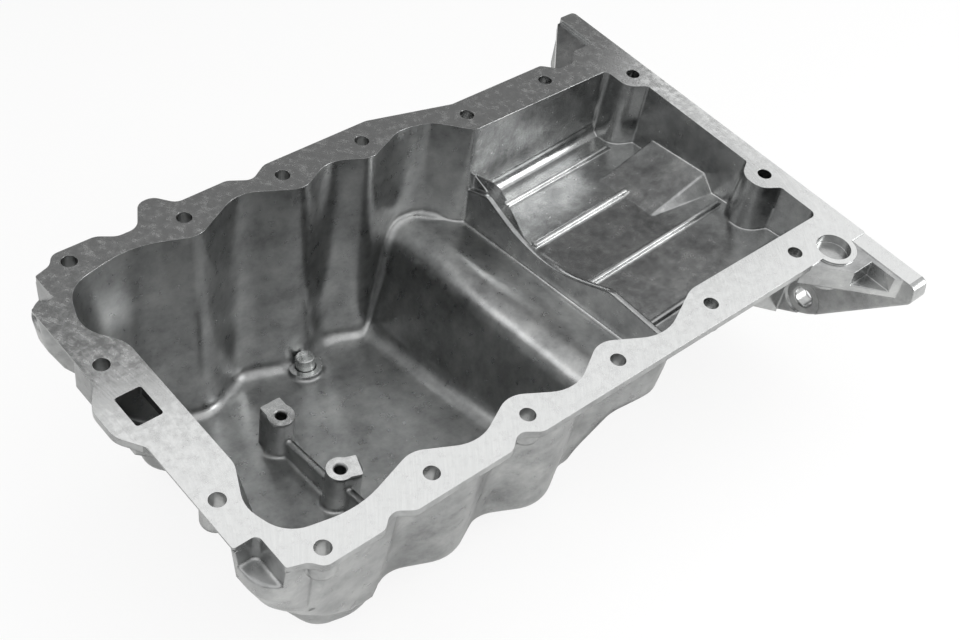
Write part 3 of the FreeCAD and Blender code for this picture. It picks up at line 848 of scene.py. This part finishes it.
@dataclass(frozen=True)
class StandingBox(SoftBox):
    """A soft box beside the pan.

    Attributes:
        place: Its middle.
        target: Point that it faces.
    """

    place: tuple[float, float, float]
    target: tuple[float, float, float]

    def build(self) -> None:
        """Adds the box and turns it to its target."""
        lamp = self.lamp()
        lamp.location = self.place
        aim = Vector(self.target) - Vector(self.place)
        lamp.rotation_euler = aim.to_track_quat("-Z", "Y").to_euler()


# The rail's front and right sides mirror the two boxes overhead, and its back side, the tray
# and its pad mirror the dim ceiling between and beyond them. The box in front on the right
# draws streaks down the cast walls, and the weak one behind on the left widens the hump's light.
SOFT_BOXES = (
    LevelBox("overhead_panel", width=3.2, depth=1.6, power=15.36, start=(0.149, 0.478), end=(0.80, 0.30)),
    LevelBox("end_panel", width=0.64, depth=0.5, power=0.96, start=(1.00, 0.60), end=(1.64, 0.60)),
    StandingBox("side_box", width=0.5, depth=1.0, power=11.0, place=(1.1, -1.0, 0.55),
                target=(0.1, 0.0, -0.05)),
    StandingBox("left_box", width=0.7, depth=0.5, power=2.0, place=(-0.90, 0.98, 0.78),
                target=(0.15, 0.0, -0.07)),
)


@dataclass
class Studio:
    """Pale floor under the leaning sump bottom, soft boxes and soft room light.

    Attributes:
        floor_drop_mm: Depth of the floor below the sump's own, along the drain.
        floor_half: Half of the floor's width in metres.
        ambient: Level of the room's light on matt things.
        ceiling_grey: Level of the ceiling as metal mirrors it.
        ceiling_span: Heights of the looking direction at which the room is still white and
            already that grey.
    """

    floor_drop_mm: float = 17.9
    floor_half: float = 4.0
    ambient: float = 0.42
    ceiling_grey: float = 0.20
    ceiling_span: tuple[float, float] = (0.10, 0.30)
    boxes: Sequence[Any] = SOFT_BOXES
    paper: PaperSweep = field(default_factory=PaperSweep)

    def build(self) -> None:
        """Makes the floor, the soft boxes and the world."""
        self.floor()
        for box in self.boxes:
            box.build()
        self.world()

    def floor(self) -> None:
        """Adds the floor, which leans as the sump's bottom does."""
        half = self.floor_half
        corners = [(-half, -half, 0), (half, -half, 0), (half, half, 0), (-half, half, 0)]
        mesh = bpy.data.meshes.new("studio_floor")
        mesh.from_pydata(corners, [], [(0, 1, 2, 3)])
        floor = bpy.data.objects.new("studio_floor", mesh)
        bpy.context.scene.collection.objects.link(floor)
        drop = Matrix.Translation((0, 0, -self.floor_drop_mm * MM))
        floor.matrix_world = DrainLine.matrix() @ drop
        give(floor, self.paper.build())

    def world(self) -> None:
        """Sets a room that shows as white, and in metal as pale near the ground and dim overhead."""
        world = bpy.data.worlds.new("light_tent")
        bpy.context.scene.world = world
        world.use_nodes = True
        tree = world.node_tree
        tree.nodes.clear()
        path = add(tree, "LightPath")
        sky = add(tree, "SeparateXYZ", i0=add(tree, "TexCoord").outputs["Generated"])
        low, high = self.ceiling_span
        mirrored = add(tree, "MapRange", i0=sky.outputs[2], i1=low, i2=high, i3=1.0,
                       i4=self.ceiling_grey)
        room = add(tree, "Mix", {"data_type": "FLOAT"}, i0=path.outputs["Is Glossy Ray"],
                   i2=self.ambient, i3=mirrored)
        seen = add(tree, "Math", {"operation": "MAXIMUM"}, i0=path.outputs["Is Camera Ray"],
                   i1=path.outputs["Is Transmission Ray"])
        level = add(tree, "Mix", {"data_type": "FLOAT"}, i0=seen, i2=room, i3=1.0)
        glow = add(tree, "Background", Color=WHITE, Strength=level)
        output = add(tree, "OutputWorld")
        tree.links.new(glow.outputs[0], output.inputs["Surface"])


@dataclass
class PhotoCamera:
    """Camera at the photograph's viewing angle, worked out from the rail's holes and edges.

    Attributes:
        place: Where it stands, in metres.
        heading: Direction it looks in, in degrees from X toward Y.
        elevation: How far it looks down, in degrees.
        roll: How far it is turned about its own axis, in degrees.
        focal_px: Focal length in the photograph's pixels.
        width_px: Width of the photograph.
        sensor_mm: Width of the sensor that the focal length is scaled to.
        nearest: Shortest distance that it shows, in metres.
    """

    place: tuple[float, float, float] = (-0.4527 + SHIFT_X, -0.3939, 0.5603)
    heading: float = 40.297
    elevation: float = 46.001
    roll: float = 11.679
    focal_px: float = 1439.5
    width_px: int = 960
    sensor_mm: float = 36.0
    nearest: float = 0.01

    def build(self) -> None:
        """Adds the camera and makes it the scene's own."""
        data = bpy.data.cameras.new("photo_camera")
        data.sensor_width = self.sensor_mm
        data.lens = self.sensor_mm * self.focal_px / self.width_px
        data.clip_start = self.nearest
        camera = bpy.data.objects.new("photo_camera", data)
        bpy.context.scene.collection.objects.link(camera)
        a, e, r = (math.radians(v) for v in (self.heading, self.elevation, self.roll))
        look = Vector((math.cos(e) * math.cos(a), math.cos(e) * math.sin(a), -math.sin(e)))
        level = Vector((math.sin(a), -math.cos(a), 0.0))
        upward = level.cross(look)
        right = level * math.cos(r) + upward * math.sin(r)
        up = upward * math.cos(r) - level * math.sin(r)
        turn = Matrix((right, up, -look)).transposed().to_4x4()
        camera.matrix_world = Matrix.Translation(self.place) @ turn
        bpy.context.scene.camera = camera


def main() -> None:
    """Builds the pieces in order."""
    logging.basicConfig(level=logging.INFO, format="%(name)s: %(message)s")
    bpy.context.scene.view_settings.view_transform = "Standard"
    PhotoCamera().build()
    LOG.info("camera set")
    Studio().build()
    LOG.info("floor and lights set")
    Casting().dress()
    LOG.info("casting dressed")
    DrainPlug().build()
    LOG.info("drain plug built")
    SealingRing().dress()
    LOG.info("sealing ring dressed")


if __name__ == "__main__":
    main()
